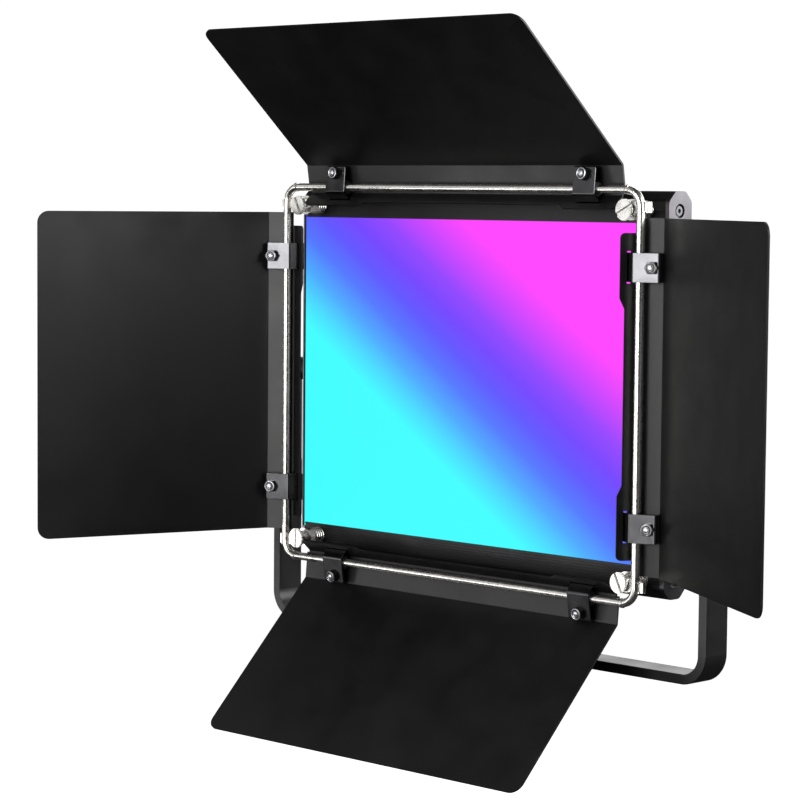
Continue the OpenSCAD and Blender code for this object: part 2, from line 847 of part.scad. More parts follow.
// Wedge head behind the flange, nut and bolt end in front of the strap
module clamp_bolts(at) {
    nut = hump_r + strap_t;
    back = -flange_gap - leaf_t / 2;
    color("#141416") for (s = [-1, 1]) {
        rotate([0, 0, plate_dir]) {
            y_rod(bolt_r, -4.5, nut + nut_t + 0.5, bolt_u, s * at);
            y_rod(3.2, nut + nut_t - 0.1, nut + nut_t + 0.25, bolt_u, s * at);
            translate([bolt_u, nut + nut_t, s * at]) rotate([90, 0, 0]) linear_extrude(nut_t) hexagon(7);
        }
        difference() {
            rotate([0, 0, plate_dir]) y_rod(3.4, -6.3, 0, bolt_u, s * at);
            rotate([0, 0, flange_dir]) block([0, back, s * at - 5], [20, 5, s * at + 5]);
        }
    }
}

// A bush round the rod's back, open where the strap passes
module clamp_bushes(at) {
    leg_side = atan2(leg_dir[1], leg_dir[0]) - 180;
    color("#3b3b3e") for (s = [-1, 1])
        translate([0, 0, s * at - clamp_w / 2 + 0.5]) linear_extrude(clamp_w - 1) difference() {
            circle(r = face_n - 0.08);
            circle(r = rod_d / 2 + play);
            rotate(plate_dir) translate([-10, rod_d / 2 - 0.2]) square(20);
            rotate(leg_side) translate([-10, leg_gap - 0.2]) square(20);
        }
}

module leaf_left() {
    on_left_rod() side_leaf();
}

module clamps_left() {
    on_left_rod() clamps(side_clamp);
}

module clamp_bolts_left() {
    on_left_rod() clamp_bolts(side_clamp);
}

module clamp_bushes_left() {
    on_left_rod() clamp_bushes(side_clamp);
}

module leaf_right() {
    on_right_rod() side_leaf();
}

module clamps_right() {
    on_right_rod() clamps(side_clamp);
}

module clamp_bolts_right() {
    on_right_rod() clamp_bolts(side_clamp);
}

module clamp_bushes_right() {
    on_right_rod() clamp_bushes(side_clamp);
}

module leaf_top() {
    on_top_rod() end_leaf();
}

module clamps_top() {
    on_top_rod() translate([0, 0, end_shift]) clamps(end_clamp);
}

module clamp_bolts_top() {
    on_top_rod() translate([0, 0, end_shift]) clamp_bolts(end_clamp);
}

module clamp_bushes_top() {
    on_top_rod() translate([0, 0, end_shift]) clamp_bushes(end_clamp);
}

module leaf_bottom() {
    on_bottom_rod() end_leaf();
}

module clamps_bottom() {
    on_bottom_rod() translate([0, 0, end_shift]) clamps(end_clamp);
}

module clamp_bolts_bottom() {
    on_bottom_rod() translate([0, 0, end_shift]) clamp_bolts(end_clamp);
}

module clamp_bushes_bottom() {
    on_bottom_rod() translate([0, 0, end_shift]) clamp_bushes(end_clamp);
}

// ---- Yoke, pivots and stand socket ----

module yoke() {
    low = -bar_top - yoke_t;
    out_x = arm_x + yoke_t;
    outer_r = yoke_r + yoke_t;
    color("#1a1a1c") at_pivot() difference() {
        union() {
            for (s = [-1, 1]) {
                translate([s * (arm_x + yoke_t / 2), 0, 0]) x_rod(yoke_w / 2, -yoke_t / 2, yoke_t / 2);
                translate([s * (arm_x + yoke_t / 2), 0, (low + outer_r) / 2])
                    cube([yoke_t, yoke_w, -low - outer_r], center = true);
                mirror([s < 0 ? 1 : 0, 0, 0]) translate([out_x - outer_r, 0, low + outer_r])
                    rotate([90, 0, 0]) rotate_extrude(angle = -90)
                        translate([yoke_r, -yoke_w / 2]) square([yoke_t, yoke_w]);
            }
            block([outer_r - out_x, -yoke_w / 2, low], [out_x - outer_r, yoke_w / 2, low + yoke_t]);
        }
        x_rod(stud_r + play, -out_x - 1, out_x + 1);
        translate([0, 0, low - 1]) cylinder(r = stud_r + 0.1, h = yoke_t + 2);
    }
}

module pivot_hubs() {
    color("#2a2a2d") at_pivot() for (s = [-1, 1]) mirror([s < 0 ? 1 : 0, 0, 0]) difference() {
        union() {
            x_rod(7.5, half_w, arm_x - washer_t);
            along_x(half_w, half_w + 3) rounded_rect(8, 16, 5);
            x_rod(3, inner_x, half_w + 1);
        }
        x_rod(stud_r + play, half_w + 6, arm_x);
    }
}

module friction_washers() {
    color("#6b6b70") at_pivot() for (s = [-1, 1]) mirror([s < 0 ? 1 : 0, 0, 0]) difference() {
        x_rod(8.6, arm_x - washer_t, arm_x - 0.05);
        x_rod(stud_r + play, arm_x - washer_t - 1, arm_x + 1);
    }
}

// A lobed hand knob along +X from its inner face, with its stud towards -X
module hand_knob(r, length, stud) {
    difference() {
        union() {
            x_rod(r * 0.6, 0, length * 0.3);
            x_rod(r, length * 0.25, length - 1.5);
            x_rod(r - 1.5, length - 2, length);
        }
        for (k = [0 : 6]) rotate([k * 360 / 7, 0, 0]) x_rod(r * 0.26, length * 0.2, length + 1, 0, r * 1.12);
        x_rod(r * 0.45, length - 2, length + 1);
    }
    x_rod(stud_r, -stud, length * 0.5);
}

module tilt_knob(s) {
    color("#1d1d20") at_pivot() mirror([s < 0 ? 1 : 0, 0, 0])
        translate([arm_x + yoke_t + 0.1, 0, 0]) hand_knob(knob_r, knob_len, yoke_t + washer_t + 14);
}

module tilt_knob_left() {
    tilt_knob(-1);
}

module tilt_knob_right() {
    tilt_knob(1);
}

module stand_socket() {
    depth = socket_len - 6;
    color("#1d1d20") difference() {
        union() {
            cylinder(r = socket_d / 2, h = socket_len);
            translate([0, 0, socket_len - 4]) cylinder(r = socket_d / 2 + 3, h = 4);
            y_rod(9, 10, socket_d / 2 + 6, 0, lock_z);
        }
        translate([0, 0, -1]) cylinder(r = socket_bore / 2, h = depth + 1);
        translate([0, 0, depth - 1]) cylinder(r = stud_r + 0.1, h = 10);
        y_rod(stud_r + play, 0, socket_d, 0, lock_z);
    }
}

module socket_bolt() {
    low = socket_len - 5.5;
    top = socket_len + yoke_t;
    color("#55565a") {
        translate([0, 0, low]) cylinder(r = stud_r, h = top - low + 1);
        translate([0, 0, top]) cylinder(r = 8.5, h = 1.6);
        translate([0, 0, top + 1.5]) linear_extrude(5.3) hexagon(13);
    }
}

module socket_lock_knob() {
    start = socket_d / 2 + 7;
    color("#1d1d20") translate([0, start, lock_z]) rotate([0, 0, 90])
        hand_knob(14, 18, start - socket_bore / 2 - 0.3);
}

yoke();
stand_socket();
socket_bolt();
socket_lock_knob();
top_rail();
bottom_rail();
side_cap_left();
side_cap_right();
side_cap_screws();
diffuser();
light_frame();
led_board();
led_chips();
heat_plate();
rear_cover();
rear_screws();
control_pod();
control_panel();
display_window();
control_board();
dial_encoders();
rocker_bezel();
dc_socket();
battery_plate_left();
battery_plate_right();
battery_contacts();
barndoor_frame();
frame_standoffs();
pivot_hubs();
friction_washers();
leaf_left();
clamps_left();
clamp_bolts_left();
clamp_bushes_left();
leaf_right();
clamps_right();
clamp_bolts_right();
clamp_bushes_right();
leaf_top();
clamps_top();
clamp_bolts_top();
clamp_bushes_top();
leaf_bottom();
clamps_bottom();
clamp_bolts_bottom();
clamp_bushes_bottom();
thumb_screw_top_left();
thumb_screw_top_right();
thumb_screw_bottom_left();
thumb_screw_bottom_right();
tilt_knob_left();
tilt_knob_right();
brightness_dial();
colour_dial();
mode_button();
channel_button();
effect_button();
power_rocker();
battery_release_left();
battery_release_right();
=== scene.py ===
import json
import math

import bmesh
import bpy
from mathutils import Matrix, Vector


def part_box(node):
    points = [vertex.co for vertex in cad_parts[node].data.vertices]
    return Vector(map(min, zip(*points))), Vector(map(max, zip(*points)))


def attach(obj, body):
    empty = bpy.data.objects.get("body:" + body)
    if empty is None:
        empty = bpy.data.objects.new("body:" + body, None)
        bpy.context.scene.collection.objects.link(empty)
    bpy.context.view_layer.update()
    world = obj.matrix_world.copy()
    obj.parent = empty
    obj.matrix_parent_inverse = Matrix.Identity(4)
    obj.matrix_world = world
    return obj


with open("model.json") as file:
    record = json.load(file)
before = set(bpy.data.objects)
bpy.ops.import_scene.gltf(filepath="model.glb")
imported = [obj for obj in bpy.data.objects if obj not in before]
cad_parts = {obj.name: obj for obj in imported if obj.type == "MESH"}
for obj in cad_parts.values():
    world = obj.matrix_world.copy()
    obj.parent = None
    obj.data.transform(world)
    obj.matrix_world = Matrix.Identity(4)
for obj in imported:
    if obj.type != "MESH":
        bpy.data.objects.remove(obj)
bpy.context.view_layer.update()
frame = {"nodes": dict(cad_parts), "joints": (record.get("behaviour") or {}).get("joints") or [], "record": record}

NODES = frame["nodes"]
MM = 0.001

# ---------------------------------------------------------------- places taken from the frame

HINGE = {j["name"]: Vector(j["pos_m"]) for j in frame["joints"] if j["type"] == "hinge"}
PIVOT = HINGE["head_tilt"]
WINDOW_LOW, WINDOW_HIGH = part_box("diffuser")
SIDES = ("left", "right", "top", "bottom")
LEFT, RIGHT = Vector((-1, 0, 0)), Vector((1, 0, 0))
FRONT, BACK = Vector((0, -1, 0)), Vector((0, 1, 0))
UP, DOWN = Vector((0, 0, 1)), Vector((0, 0, -1))

# ---------------------------------------------------------------- camera, floor and lights

CAMERA_PLACE = (1.1624, -1.2438, 0.3285)
CAMERA_BACK = Vector((0.70356, -0.70658, 0.07581))
CAMERA_UP = Vector((-0.05982, 0.04742, 0.99708))
CAMERA_LENS, CAMERA_SENSOR = 123.26, 36
CAMERA_NEAR, CAMERA_FAR = 0.05, 60

FLOOR_Z, FLOOR_REACH, FLOOR_TOP = -0.62, 9.0, 6.0
FLOOR_CURVE, FLOOR_STEPS, FLOOR_TURN = 2.2, 16, 45
FLOOR_HALF_WIDTH = FLOOR_REACH * 1.6

WORLD_DIM, WORLD_WHITE = 0.03, 1.0

# Each soft box: its name, its place and size in metres, and its radiance
SOFT_BOXES = (
    ("front_box", (-0.05, -2.0, 0.55), (1.0, 1.0), 9.5),
    ("front_right_wing", (0.76, -1.95, 0.12), (0.65, 1.1), 3.6),
    ("front_left_wing", (-1.02, -1.9, 0.12), (0.75, 1.1), 1.0),
    ("far_left_box", (-2.15, -1.85, -0.12), (0.55, 0.9), 2.6),
    ("low_left_box", (-1.66, -1.85, -0.40), (0.42, 0.5), 3.0),
    ("front_left_box", (-1.75, -1.35, 1.25), (1.3, 1.2), 0.6),
    ("right_box", (0.98, 0.80, 0.67), (0.6, 0.9), 5.6),
    ("side_box", (1.35, 0.15, 0.72), (0.55, 0.9), 8.5),
    ("back_box", (0.2, 2.3, 0.9), (3.0, 1.4), 2.2),
    ("left_box", (-1.60, 1.15, 0.60), (1.8, 1.0), 1.7),
    ("top_box", (-0.3, 0.9, 1.7), (0.9, 0.6), 2.6),
)


def link_object(name, data):
    """A new object in the scene's own collection."""
    obj = bpy.data.objects.new(name, data)
    bpy.context.scene.collection.objects.link(obj)
    return obj


def look_at(obj, back, up):
    """Turns obj so that its +Z is back and its +Y is as near up as it can be."""
    z = back.normalized()
    x = up.cross(z).normalized()
    turn = Matrix((x, z.cross(x), z)).transposed().to_4x4()
    obj.matrix_world = Matrix.Translation(obj.location) @ turn


def make_camera():
    """A long lens in front of the light and to its right, a little above its middle."""
    data = bpy.data.cameras.new("camera")
    data.lens = CAMERA_LENS
    data.sensor_width = CAMERA_SENSOR
    data.clip_start, data.clip_end = CAMERA_NEAR, CAMERA_FAR
    camera = link_object("camera", data)
    camera.location = CAMERA_PLACE
    look_at(camera, CAMERA_BACK, CAMERA_UP)
    bpy.context.scene.camera = camera


def soft_box(name, place, size, radiance):
    """An evenly bright box that faces the pivot, seen in reflections but not by the camera."""
    data = bpy.data.lights.new(name, "AREA")
    data.shape = "RECTANGLE"
    data.size, data.size_y = size
    data.energy = radiance * math.pi * size[0] * size[1]
    light = link_object(name, data)
    light.visible_camera = False
    light.location = place
    look_at(light, Vector(place) - PIVOT, UP)


def make_stage():
    """A pale floor that curves up into a backdrop, well below the light."""
    profile = [(-FLOOR_REACH, FLOOR_Z)]
    for i in range(FLOOR_STEPS + 1):
        a = math.pi / 2 * i / FLOOR_STEPS
        profile.append((FLOOR_REACH - FLOOR_CURVE + FLOOR_CURVE * math.sin(a),
                        FLOOR_Z + FLOOR_CURVE * (1 - math.cos(a))))
    profile.append((FLOOR_REACH, FLOOR_TOP))
    verts, faces = [], []
    for i, (d, z) in enumerate(profile):
        verts += [(-FLOOR_HALF_WIDTH, d, z), (FLOOR_HALF_WIDTH, d, z)]
        if i:
            faces.append((2 * i - 2, 2 * i - 1, 2 * i + 1, 2 * i))
    mesh = bpy.data.meshes.new("floor")
    mesh.from_pydata(verts, [], faces)
    mesh.polygons.foreach_set("use_smooth", [True] * len(faces))
    mesh.materials.append(stage_material())
    floor = link_object("floor", mesh)
    floor.rotation_euler = (0, 0, math.radians(FLOOR_TURN))
    floor.visible_diffuse = False
    floor.visible_glossy = False


def make_world():
    """White where the camera looks past the floor, dim for everything that lights the object."""
    world = bpy.data.worlds.new("world")
    world.use_nodes = True
    tree = world.node_tree
    background = tree.nodes["Background"]
    background.inputs["Color"].default_value = (1, 1, 1, 1)
    path = tree.nodes.new("ShaderNodeLightPath")
    level = tree.nodes.new("ShaderNodeMapRange")
    level.inputs["To Min"].default_value = WORLD_DIM
    level.inputs["To Max"].default_value = WORLD_WHITE
    tree.links.new(path.outputs["Is Camera Ray"], level.inputs["Value"])
    tree.links.new(level.outputs["Result"], background.inputs["Strength"])
    bpy.context.scene.world = world


def make_lights():
    bpy.context.scene.view_settings.view_transform = "Standard"
    make_world()
    for name, place, size, radiance in SOFT_BOXES:
        soft_box(name, place, size, radiance)


# ---------------------------------------------------------------- material helpers

MOTTLE_LOW, MOTTLE_HIGH = 0.3, 0.7       # a noise's levels between which a surface's tone changes
PLATED_LOW, PLATED_HIGH = 0.35, 0.65     # the same for the gloss of bright metal
NEUTRAL, COOL, COOLER = (1, 1, 1), (1, 1, 1.03), (1, 1, 1.06)


class Nodes:
    """A material's node tree, with one short call per node."""

    def __init__(self, name):
        self.material = bpy.data.materials.new(name)
        self.material.use_nodes = True
        self.tree = self.material.node_tree
        self.shader = self.tree.nodes["Principled BSDF"]

    def add(self, kind, **settings):
        node = self.tree.nodes.new(kind)
        for key, value in settings.items():
            setattr(node, key, value)
        return node

    def link(self, source, target):
        self.tree.links.new(source, target)

    def set(self, name, source):
        self.link(source, self.shader.inputs[name])

    def constants(self, **values):
        """Numbers that are the same all over, on the shader's own sockets."""
        for key, value in values.items():
            self.shader.inputs[key.replace("_", " ")].default_value = value

    def place(self, stretch=(1, 1, 1)):
        """Object coordinates, which are the row frame's metres, stretched per axis."""
        mapping = self.add("ShaderNodeMapping")
        mapping.inputs["Scale"].default_value = stretch
        self.link(self.add("ShaderNodeTexCoord").outputs["Object"], mapping.inputs["Vector"])
        return mapping.outputs["Vector"]

    def noise(self, scale, detail=3.0, roughness=0.5, where=None):
        node = self.add("ShaderNodeTexNoise")
        node.inputs["Scale"].default_value = scale
        node.inputs["Detail"].default_value = detail
        node.inputs["Roughness"].default_value = roughness
        self.link(where or self.place(), node.inputs["Vector"])
        return node.outputs["Fac"]

    def ramp(self, source, *stops):
        """Colour stops (position, colour) over a grey input."""
        node = self.add("ShaderNodeValToRGB")
        elements = node.color_ramp.elements
        while len(elements) < len(stops):
            elements.new(0.5)
        for element, (position, colour) in zip(elements, stops):
            element.position = position
            element.color = (*colour, 1)
        self.link(source, node.inputs["Fac"])
        return node.outputs["Color"]

    def mottle(self, source, low, high):
        """A colour that drifts softly between two near tones."""
        return self.ramp(source, (MOTTLE_LOW, low), (MOTTLE_HIGH, high))

    def spread(self, source, low, high, out_low, out_high):
        node = self.add("ShaderNodeMapRange")
        ends = (("From Min", low), ("From Max", high), ("To Min", out_low), ("To Max", out_high))
        for name, value in ends:
            node.inputs[name].default_value = value
        self.link(source, node.inputs["Value"])
        return node.outputs["Result"]

    def math(self, operation, a, b):
        """An arithmetic node whose inputs are numbers or other nodes' outputs."""
        node = self.add("ShaderNodeMath", operation=operation)
        for socket, value in zip(node.inputs, (a, b)):
            if isinstance(value, (int, float)):
                socket.default_value = value
            else:
                self.link(value, socket)
        return node.outputs["Value"]

    def bump(self, height, depth, strength):
        node = self.add("ShaderNodeBump")
        node.inputs["Distance"].default_value = depth
        node.inputs["Strength"].default_value = strength
        self.link(height, node.inputs["Height"])
        return node.outputs["Normal"]


def grey(value, tint=NEUTRAL):
    return tuple(value * t for t in tint)


def stage_material():
    """A pale matt floor that stays white on its own."""
    m = Nodes("stage_pale")
    m.set("Base Color", m.mottle(m.noise(scale=1.5, detail=2), grey(0.86), grey(0.9)))
    m.set("Emission Color", m.mottle(m.noise(scale=1.5, detail=2), grey(0.98), grey(1.0)))
    m.constants(Roughness=0.9, Emission_Strength=1.0)
    return m.material


def coated(name, low, high, roughness, specular=0.5):
    """Powder coat or anodised metal: fine grain in the relief, soft clouds in colour and gloss."""
    m = Nodes(name)
    clouds = m.noise(scale=9, detail=4, roughness=0.6)
    grain = m.noise(scale=1400, detail=2, roughness=0.6)
    gloss = m.noise(scale=40, detail=4)
    m.set("Base Color", m.mottle(clouds, grey(low, COOLER), grey(high, COOLER)))
    m.set("Roughness", m.spread(gloss, MOTTLE_LOW, MOTTLE_HIGH, roughness - 0.05, roughness + 0.06))
    m.set("Normal", m.bump(grain, depth=0.04 * MM, strength=0.5))
    m.constants(Specular_IOR_Level=specular)
    return m.material


def satin_metal(name, low, high, roughness, tint=(1, 1, 1.05)):
    """Dark plated or anodised metal whose gloss is the metal's own."""
    m = Nodes(name)
    clouds = m.noise(scale=30, detail=4, roughness=0.6)
    grain = m.noise(scale=900, detail=2, roughness=0.6)
    gloss = m.noise(scale=90, detail=4)
    m.set("Base Color", m.mottle(clouds, grey(low, tint), grey(high, tint)))
    m.set("Roughness", m.spread(gloss, MOTTLE_LOW, MOTTLE_HIGH, roughness - 0.04, roughness + 0.06))
    m.set("Normal", m.bump(grain, depth=0.02 * MM, strength=0.4))
    m.constants(Metallic=1.0)
    return m.material


def plated(name, colour, roughness, brush=(1, 1, 1)):
    """Bright metal with faint drawing lines and handling marks."""
    m = Nodes(name)
    lines = m.noise(scale=900, detail=3, roughness=0.6, where=m.place(brush))
    marks = m.noise(scale=60, detail=5, roughness=0.7)
    gloss = m.noise(scale=120, detail=4)
    m.set("Base Color", m.ramp(marks, (0.35, grey(0.86, colour)), (0.6, colour)))
    m.set("Roughness", m.spread(gloss, PLATED_LOW, PLATED_HIGH, roughness - 0.04, roughness + 0.08))
    m.set("Normal", m.bump(lines, depth=0.006 * MM, strength=0.12))
    m.constants(Metallic=1.0)
    return m.material


def moulded(name, low, high, roughness, tint=COOL):
    """Moulded plastic with a fine spark-eroded grain."""
    m = Nodes(name)
    clouds = m.noise(scale=14, detail=4, roughness=0.6)
    gloss = m.noise(scale=50)
    cells = m.add("ShaderNodeTexVoronoi")
    cells.inputs["Scale"].default_value = 2200
    m.link(m.place(), cells.inputs["Vector"])
    m.set("Base Color", m.mottle(clouds, grey(low, tint), grey(high, tint)))
    m.set("Roughness", m.spread(gloss, MOTTLE_LOW, MOTTLE_HIGH, roughness - 0.04, roughness + 0.05))
    m.set("Normal", m.bump(cells.outputs["Distance"], depth=0.05 * MM, strength=0.35))
    return m.material


# The lit window's colours, from its lower left corner to its upper right one
WINDOW_SWEEP = (
    (0.15, (0.055, 0.98, 1.0)), (0.24, (0.066, 0.70, 1.0)), (0.33, (0.075, 0.40, 1.0)),
    (0.43, (0.086, 0.19, 1.0)), (0.53, (0.114, 0.095, 1.0)), (0.63, (0.178, 0.058, 1.0)),
    (0.73, (0.30, 0.058, 1.0)), (0.83, (0.60, 0.055, 1.0)), (0.95, (1.0, 0.055, 1.0)),
)


def window_material():
    """The lit opal sheet: a diagonal sweep from cyan through violet to magenta."""
    m = Nodes("window_lit")
    mapping = m.add("ShaderNodeMapping", vector_type="POINT")
    mapping.inputs["Location"].default_value = -(WINDOW_LOW + WINDOW_HIGH) / 2
    m.link(m.add("ShaderNodeTexCoord").outputs["Object"], mapping.inputs["Vector"])
    split = m.add("ShaderNodeSeparateXYZ")
    m.link(mapping.outputs["Vector"], split.inputs["Vector"])
    half = (WINDOW_HIGH - WINDOW_LOW) / 2
    across = m.math("DIVIDE", split.outputs["X"], half.x)
    up = m.math("DIVIDE", split.outputs["Z"], half.z)
    sweep = m.spread(m.math("ADD", across, up), -1.0, 1.0, 0, 1)
    m.set("Emission Color", m.ramp(sweep, *WINDOW_SWEEP))
    m.set("Base Color", m.mottle(m.noise(scale=200, detail=2), grey(0.002), grey(0.003)))
    m.set("Normal", m.bump(m.noise(scale=2500, detail=2), depth=0.03 * MM, strength=0.3))
    m.constants(Emission_Strength=1.0, Roughness=0.55, Specular_IOR_Level=0.12)
    return m.material


def glow_material():
    """The display's lit segments."""
    m = Nodes("display_glow")
    m.set("Emission Color", m.mottle(m.noise(scale=300), (0.45, 0.85, 1.0), (0.6, 0.93, 1.0)))
    m.constants(Emission_Strength=1.6, Roughness=0.3)
    return m.material


# The record's material slots
SLOTS = {
    "leaf_black": coated("leaf_black", 0.002, 0.0035, 0.40),
    "body_black": coated("body_black", 0.004, 0.006, 0.4, specular=0.35),
    # The faint lilac tint of cap_grey is a painted reflection of the light falling on the cap
    "cap_grey": satin_metal("cap_grey", 0.12, 0.14, 0.3, tint=(1, 0.97, 1.04)),
    "yoke_black": coated("yoke_black", 0.005, 0.007, 0.35),
    "clamp_black": satin_metal("clamp_black", 0.09, 0.105, 0.22),
    "bolt_black": coated("bolt_black", 0.006, 0.009, 0.25),
    "nickel": plated("nickel", (0.93, 0.91, 0.87), 0.25),
    "screw_steel": plated("screw_steel", (0.16, 0.16, 0.17), 0.34),
    "bush_plastic": moulded("bush_plastic", 0.02, 0.03, 0.5),
    "window_lit": window_material(),
    "white_plastic": moulded("white_plastic", 0.78, 0.84, 0.45),
    "board_white": moulded("board_white", 0.75, 0.8, 0.35),
    "board_green": moulded("board_green", 0.08, 0.11, 0.35, tint=(0.25, 1.2, 0.5)),
    "chip_yellow": moulded("chip_yellow", 0.7, 0.8, 0.3, tint=(1.1, 0.9, 0.35)),
    "bare_aluminium": plated("bare_aluminium", (0.74, 0.75, 0.76), 0.32, brush=(1, 12, 12)),
    "case_black": moulded("case_black", 0.012, 0.018, 0.5),
    "panel_dark": moulded("panel_dark", 0.018, 0.024, 0.3),
    "display_glass": moulded("display_glass", 0.01, 0.014, 0.08, tint=(0.6, 1, 1.4)),
    "key_grey": moulded("key_grey", 0.22, 0.28, 0.5),
    "knob_black": moulded("knob_black", 0.014, 0.02, 0.42),
    "contact_gold": plated("contact_gold", (0.86, 0.62, 0.24), 0.25),
}

# Materials of the added pieces that no CAD node has
# Painted highlight: a light metal tone on the rim of each black clamp nut and on its bolt's end
NUT_HIGHLIGHT_PAINT = satin_metal("nut_highlight_paint", 0.6, 0.68, 0.34)
# Painted shade: a darker black ring laid in the gap between each clamp nut and its bolt
NUT_SHADE_PAINT = coated("nut_shade_paint", 0.004, 0.008, 0.4)
PRINT_WHITE = moulded("print_white", 0.62, 0.7, 0.5)
SCALE_GREY = moulded("scale_grey", 0.35, 0.42, 0.5)

# The width in mm of the rounded edges on the CAD nodes whose edges show
SOFT_EDGES = {
    **{f"leaf_{side}": 0.3 for side in SIDES}, **{f"clamps_{side}": 0.2 for side in SIDES},
    "side_cap_left": 0.5, "side_cap_right": 0.5, "yoke": 0.5,
    "top_rail": 0.22, "bottom_rail": 0.22,
}
EDGE_SEGMENTS, EDGE_ANGLE, WELD_WIDTH = 2, 40, 0.01 * MM


def soften(node, width):
    """Small rounded edges that catch the light."""
    node.modifiers.new("weld", "WELD").merge_threshold = WELD_WIDTH
    bevel = node.modifiers.new("bevel", "BEVEL")
    bevel.width = width
    bevel.segments = EDGE_SEGMENTS
    bevel.limit_method = "ANGLE"
    bevel.angle_limit = math.radians(EDGE_ANGLE)
    bevel.harden_normals = True
    bevel.use_clamp_overlap = True
    node.modifiers.new("normals", "WEIGHTED_NORMAL").keep_sharp = True


def dress_nodes():
    """Every CAD node takes its slot's material, and the ones whose edges show are softened."""
    for part in frame["record"]["subparts"]:
        node = NODES[part["node"]]
        node.data.materials.clear()
        node.data.materials.append(SLOTS[part["material_slot"]])
    for name, width in SOFT_EDGES.items():
        soften(NODES[name], width * MM)
    NODES["diffuser"].visible_diffuse = False
    NODES["diffuser"].visible_glossy = False


# ---------------------------------------------------------------- small pieces that the CAD leaves plain

SHARP_ANGLE = 35
SLAB_EDGE = 0.25     # the share of a slab's thickness that its bevelled rim takes


def circle(count):
    """The angles of a full turn in count steps."""
    return [2 * math.pi * k / count for k in range(count)]


class Shape:
    """Points and faces of one piece, gathered from several strokes."""

    def __init__(self):
        self.verts, self.faces = [], []

    def ring_wall(self, rings):
        """Joins rings of equally many points with quads, and caps both ends."""
        count = len(rings[0])
        start = len(self.verts)
        last = start + (len(rings) - 1) * count
        for ring in rings:
            self.verts += [tuple(p) for p in ring]
        for i in range(len(rings) - 1):
            for j in range(count):
                a, b = start + i * count + j, start + i * count + (j + 1) % count
                self.faces.append((a, b, b + count, a + count))
        self.faces.append(tuple(reversed(range(start, start + count))))
        self.faces.append(tuple(range(last, last + count)))

    def lathe(self, origin, axis, profile, sides):
        """A turned solid: profile is (distance along the axis, radius), in mm."""
        side = axis.orthogonal().normalized()
        other = axis.cross(side)
        self.ring_wall([
            [Vector(origin) + axis * along * MM + radius * MM * (side * math.cos(a) + other * math.sin(a))
             for a in circle(sides)]
            for along, radius in profile])

    def slab(self, outline, normal, thickness):
        """A plate with a bevelled rim, standing out of a flat outline."""
        centre = sum(outline, Vector()) / len(outline)
        mid = [p + normal * thickness * (1 - SLAB_EDGE) for p in outline]
        top = [p + normal * thickness + (centre - p).normalized() * thickness * SLAB_EDGE for p in outline]
        self.ring_wall([outline, mid, top])

    def piece(self, name, body, slot, material):
        """Makes the object, with its faces turned outwards, and sets it on its body."""
        mesh = bpy.data.meshes.new(name)
        mesh.from_pydata(self.verts, [], self.faces)
        mesh.materials.append(material)
        obj = link_object(name, mesh)
        work = bmesh.new()
        work.from_mesh(mesh)
        bmesh.ops.recalc_face_normals(work, faces=work.faces)
        work.to_mesh(mesh)
        work.free()
        mesh.polygons.foreach_set("use_smooth", [True] * len(mesh.polygons))
        mesh.set_sharp_from_angle(angle=math.radians(SHARP_ANGLE))
        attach(obj, body)


def back_point(x, y, z):
    """A point in millimetres from the pivot, as the rear controls are laid out."""
    return PIVOT + Vector((x, y, z)) * MM


def tick(place, out, across, near, far, half_width):
    """The four corners in mm of a radial line round place, which turns them into a point."""
    corners = (out * near - across * half_width, out * far - across * half_width,
               out * far + across * half_width, out * near + across * half_width)
    return [place(c) for c in corners]


# A standoff's sleeve, in mm: its bore, its length and its ribs
SLEEVE_BORE, SLEEVE_LENGTH = 4.45, 8.6
RIB_COUNT, RIB_PITCH, RIB_RADIUS, RIB_ROOT = 4, 1.8, 5.5, 5.1
RIB_FLANKS = ((1.2, RIB_RADIUS), (1.5, RIB_ROOT), (2.1, RIB_ROOT), (2.4, RIB_RADIUS))


def standoff_sleeves():
    """A plated, ribbed sleeve on each standoff, between its skirt and the rail."""
    profile = [(0, SLEEVE_BORE), (0, 5.2), (0.4, RIB_RADIUS)]
    for rib in range(RIB_COUNT):
        profile += [(along + rib * RIB_PITCH, radius) for along, radius in RIB_FLANKS]
    profile += [(8.3, 5.3), (SLEEVE_LENGTH, 4.9), (SLEEVE_LENGTH, SLEEVE_BORE)]
    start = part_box("top_rail")[0].y - SLEEVE_LENGTH * MM
    shape = Shape()
    for across in ("left", "right"):
        for up in ("top", "bottom"):
            screw = HINGE[f"thumb_screw_{up}_{across}_turn"]
            shape.lathe((screw.x, start, screw.z), BACK, profile, sides=36)
    shape.piece("standoff_sleeves", "head", "nickel", SLOTS["nickel"])


# A weld bead, in mm and degrees: the heights of the lugs' edges, and the bead's ripples
LUG_EDGES = (106.8, 113.0)
BEAD_PATH, BEAD_RADIUS, BEAD_RIPPLE, RIPPLE_STEP = 2.6, 0.55, 0.18, 2.2
BEAD_START, BEAD_STEP, BEAD_RINGS, BEAD_SIDES = -20, 13, 17, 10


def weld_beads():
    """A rippled weld bead above and below each lug, where it meets the upright wire."""
    wire = HINGE["leaf_right_hinge"]
    shape = Shape()
    for sx in (-1, 1):
        for height in [sz * edge for sz in (-1, 1) for edge in LUG_EDGES]:
            rings = []
            for i in range(BEAD_RINGS):
                a = math.radians(BEAD_START + i * BEAD_STEP)
                out = Vector((sx * math.cos(a), math.sin(a), 0))
                centre = Vector((sx * wire.x, wire.y, PIVOT.z + height * MM)) + out * BEAD_PATH * MM
                radius = (BEAD_RADIUS + BEAD_RIPPLE * math.sin(i * RIPPLE_STEP)) * MM
                rings.append([centre + radius * (out * math.cos(b) + UP * math.sin(b))
                              for b in circle(BEAD_SIDES)])
            shape.ring_wall(rings)
    shape.piece("weld_beads", "head", "nickel", SLOTS["nickel"])


